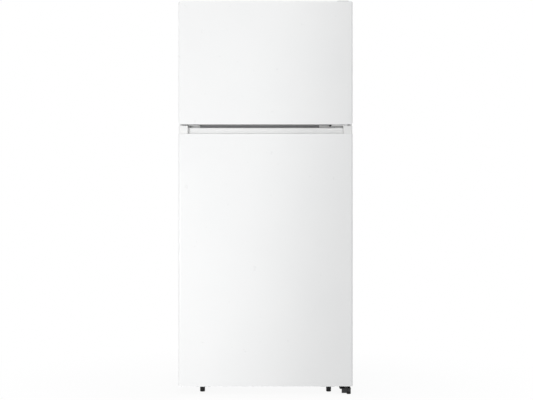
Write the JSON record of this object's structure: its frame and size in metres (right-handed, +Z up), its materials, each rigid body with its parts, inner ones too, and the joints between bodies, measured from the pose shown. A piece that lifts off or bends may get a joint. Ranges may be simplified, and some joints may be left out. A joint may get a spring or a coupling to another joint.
{
  "type": "top freezer refrigerator",
  "caption": "Free-standing frost-free refrigerator: freezer door above a taller fridge door, both hinged on the right, with shelves, drawers and door bins inside.",
  "frame": {"origin": "on the floor, under the centre of the closed refrigerator's bounding box", "axes": "+X to the right as seen from the front, -Y out of the doors, +Z up"},
  "size_m": [0.748, 0.77, 1.7],
  "materials": {
    "white_steel": "satin",
    "white_trim": "satin",
    "liner_white": "satin",
    "foam": "matte",
    "gasket": "matte",
    "black_plastic": "satin",
    "dark_trim": "matte",
    "galvanised": "satin",
    "black_steel": "satin",
    "aluminium": "satin",
    "clear_plastic": "gloss",
    "shelf_glass": "polished",
    "lamp_lens": "satin",
    "white_wire": "satin",
    "black_rubber": "matte"
  },
  "bodies": {
    "cabinet": {"cabinet_shell": "white_steel", "rear_panel": "galvanised", "base_plate": "galvanised", "cabinet_foam": "foam", "freezer_liner": "liner_white", "fridge_liner": "liner_white", "mullion_rail": "white_steel", "front_base_rail": "galvanised", "top_hinge_bracket": "galvanised", "top_hinge_cover": "white_trim", "middle_hinge_bracket": "white_steel", "mullion_blank_cap": "white_trim", "bottom_hinge_bracket": "black_steel", "evaporator_cover": "liner_white", "evaporator": "aluminium", "freezer_shelf": "white_wire", "shelf_frame_upper": "white_trim", "shelf_glass_upper": "shelf_glass", "shelf_frame_lower": "white_trim", "shelf_glass_lower": "shelf_glass", "crisper_cover_frame": "white_trim", "crisper_cover_glass": "shelf_glass", "control_housing": "white_trim", "lamp_lens": "lamp_lens", "machine_deck": "galvanised", "machine_cover": "galvanised", "compressor": "black_steel", "condenser_coil": "black_steel", "condenser_fan_bracket": "galvanised"},
    "freezer_door": {"freezer_door_skin": "white_steel", "freezer_door_top_cap": "white_trim", "freezer_door_bottom_cap": "dark_trim", "freezer_door_foam": "foam", "freezer_door_liner": "liner_white", "freezer_door_gasket": "gasket", "freezer_bin_upper": "clear_plastic", "freezer_bin_lower": "clear_plastic"},
    "fridge_door": {"fridge_door_skin": "white_steel", "fridge_door_top_cap": "white_trim", "fridge_door_bottom_cap": "white_trim", "fridge_door_foam": "foam", "fridge_door_liner": "liner_white", "fridge_door_gasket": "gasket", "fridge_bin_upper": "clear_plastic", "fridge_bin_middle": "clear_plastic", "fridge_bin_lower": "clear_plastic"},
    "crisper_left": {"crisper_left": "clear_plastic"},
    "crisper_right": {"crisper_right": "clear_plastic"},
    "evaporator_fan": {"evaporator_fan": "dark_trim"},
    "condenser_fan": {"condenser_fan": "dark_trim"},
    "temperature_knob": {"temperature_knob": "white_trim"},
    "door_switch_plunger": {"door_switch_plunger": "white_trim"},
    "rear_roller_left": {"rear_roller_left": "black_rubber"},
    "rear_roller_right": {"rear_roller_right": "black_rubber"},
    "leg_pad_left": {"leg_pad_left": "black_plastic"},
    "leg_screw_left": {"leg_screw_left": "black_plastic"},
    "leg_pad_right": {"leg_pad_right": "black_plastic"},
    "leg_screw_right": {"leg_screw_right": "black_plastic"},
    "hinge_leg_pad": {"hinge_leg_pad": "black_plastic"},
    "hinge_leg_screw": {"hinge_leg_screw": "black_plastic"}
  },
  "joints": [
    {"name": "freezer_door_hinge", "type": "hinge", "parent": "cabinet", "child": "freezer_door", "pos_m": [0.346, -0.367, 1.42], "axis": [0, 0, 1], "range_deg": [0, 130]},
    {"name": "fridge_door_hinge", "type": "hinge", "parent": "cabinet", "child": "fridge_door", "pos_m": [0.346, -0.367, 0.6], "axis": [0, 0, 1], "range_deg": [0, 130]},
    {"name": "crisper_left_slide", "type": "slide", "parent": "cabinet", "child": "crisper_left", "axis": [0, -1, 0], "range_m": [0, 0.17]},
    {"name": "crisper_right_slide", "type": "slide", "parent": "cabinet", "child": "crisper_right", "axis": [0, -1, 0], "range_m": [0, 0.17]},
    {"name": "evaporator_fan_spin", "type": "hinge", "parent": "cabinet", "child": "evaporator_fan", "pos_m": [0, 0.239, 1.535], "axis": [0, 1, 0], "continuous": true},
    {"name": "condenser_fan_spin", "type": "hinge", "parent": "cabinet", "child": "condenser_fan", "pos_m": [-0.04, 0.26785, 0.15], "axis": [1, 0, 0], "continuous": true},
    {"name": "temperature_knob_turn", "type": "hinge", "parent": "cabinet", "child": "temperature_knob", "pos_m": [0.098, -0.165, 1.04], "axis": [0, 0, 1], "range_deg": [0, 270]},
    {"name": "door_switch_press", "type": "slide", "parent": "cabinet", "child": "door_switch_plunger", "axis": [0, 1, 0], "range_m": [0, 0.007], "stiffness_N_per_m": 250},
    {"name": "rear_roller_left_spin", "type": "hinge", "parent": "cabinet", "child": "rear_roller_left", "pos_m": [-0.318, 0.3377, 0.018], "axis": [1, 0, 0], "continuous": true},
    {"name": "rear_roller_right_spin", "type": "hinge", "parent": "cabinet", "child": "rear_roller_right", "pos_m": [0.318, 0.3377, 0.018], "axis": [1, 0, 0], "continuous": true},
    {"name": "leg_left_travel", "type": "slide", "parent": "cabinet", "child": "leg_pad_left", "axis": [0, 0, -1], "range_m": [0, 0.015]},
    {"name": "leg_left_turn", "type": "hinge", "parent": "leg_pad_left", "child": "leg_screw_left", "pos_m": [-0.274, -0.298, 0.02], "axis": [0, 0, 1], "range_deg": [0, 1800]},
    {"name": "leg_right_travel", "type": "slide", "parent": "cabinet", "child": "leg_pad_right", "axis": [0, 0, -1], "range_m": [0, 0.015]},
    {"name": "leg_right_turn", "type": "hinge", "parent": "leg_pad_right", "child": "leg_screw_right", "pos_m": [0.274, -0.298, 0.02], "axis": [0, 0, 1], "range_deg": [0, 1800]},
    {"name": "hinge_leg_travel", "type": "slide", "parent": "cabinet", "child": "hinge_leg_pad", "axis": [0, 0, -1], "range_m": [0, 0.015]},
    {"name": "hinge_leg_turn", "type": "hinge", "parent": "hinge_leg_pad", "child": "hinge_leg_screw", "pos_m": [0.3565, -0.371, 0.02], "axis": [0, 0, 1], "range_deg": [0, 1800]}
  ],
  "couplings": [
    {"joint": "crisper_left_slide", "follows": "fridge_door_hinge", "m_per_rad": 0.074925},
    {"joint": "crisper_right_slide", "follows": "fridge_door_hinge", "m_per_rad": 0.074925},
    {"joint": "leg_left_turn", "follows": "leg_left_travel", "rad_per_m": 2094.3},
    {"joint": "leg_right_turn", "follows": "leg_right_travel", "rad_per_m": 2094.3},
    {"joint": "hinge_leg_turn", "follows": "hinge_leg_travel", "rad_per_m": 2094.3}
  ]
}
